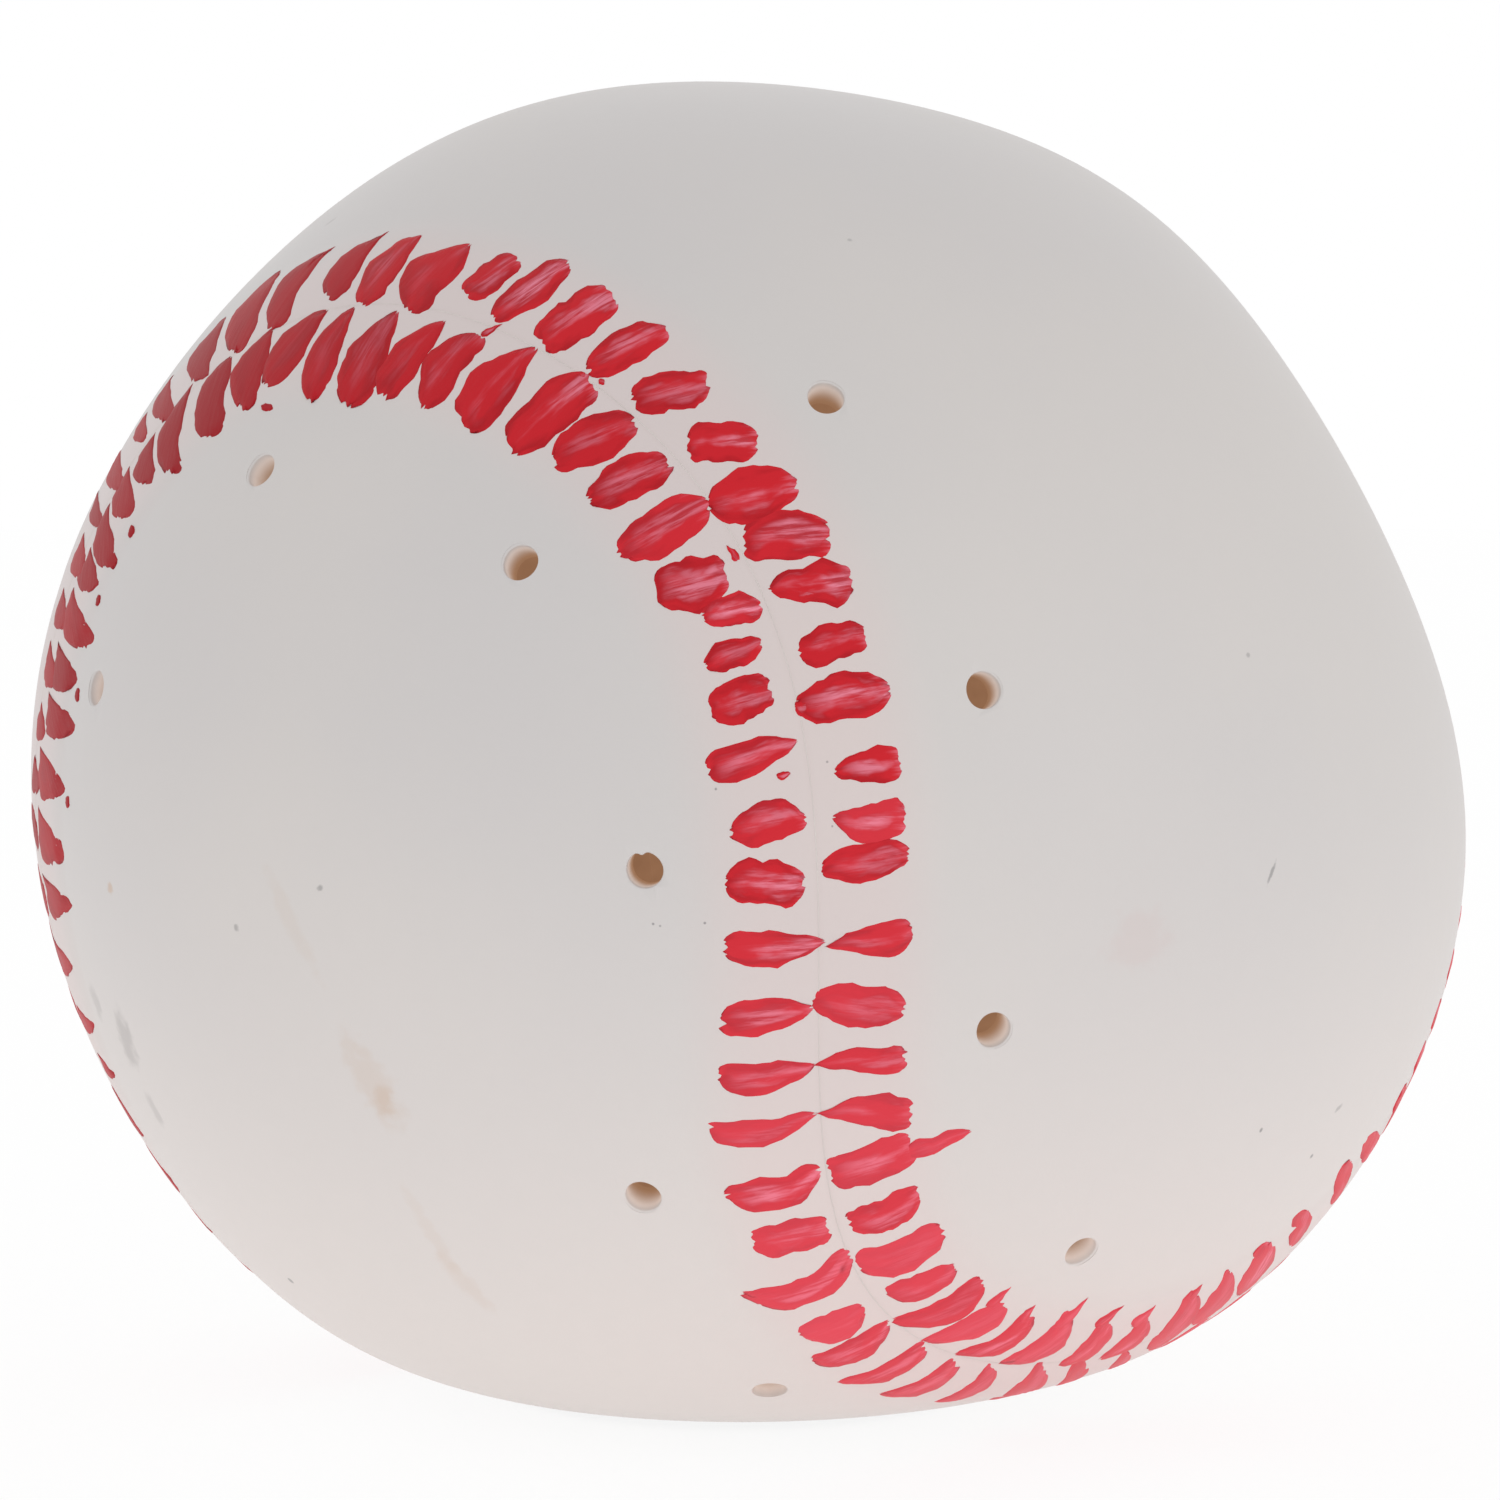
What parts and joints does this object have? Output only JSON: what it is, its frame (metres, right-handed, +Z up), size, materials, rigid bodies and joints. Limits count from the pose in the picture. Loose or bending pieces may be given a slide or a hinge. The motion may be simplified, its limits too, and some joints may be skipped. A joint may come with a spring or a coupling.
{
  "type": "hollow play baseball",
  "caption": "Slightly squashed hollow soft ball with a figure-eight seam, vent holes beside it and painted stitch marks.",
  "frame": {"origin": "centre of the whole ball's box", "axes": "+Z up from the flat that the ball stands on, +X to the right of the picture's view, -Y towards its camera"},
  "size_m": [0.0763, 0.0722, 0.0698],
  "materials": {
    "skin": "matte, moulded, slightly translucent white",
    "bond": "matte",
    "stitch_paint": "glossy hand-laid paint"
  },
  "bodies": {
    "root": {"panel_left": "skin", "panel_right": "skin", "seam_bond": "bond", "stitch_marks_left": "stitch_paint", "stitch_marks_right": "stitch_paint"}
  },
  "joints": []
}
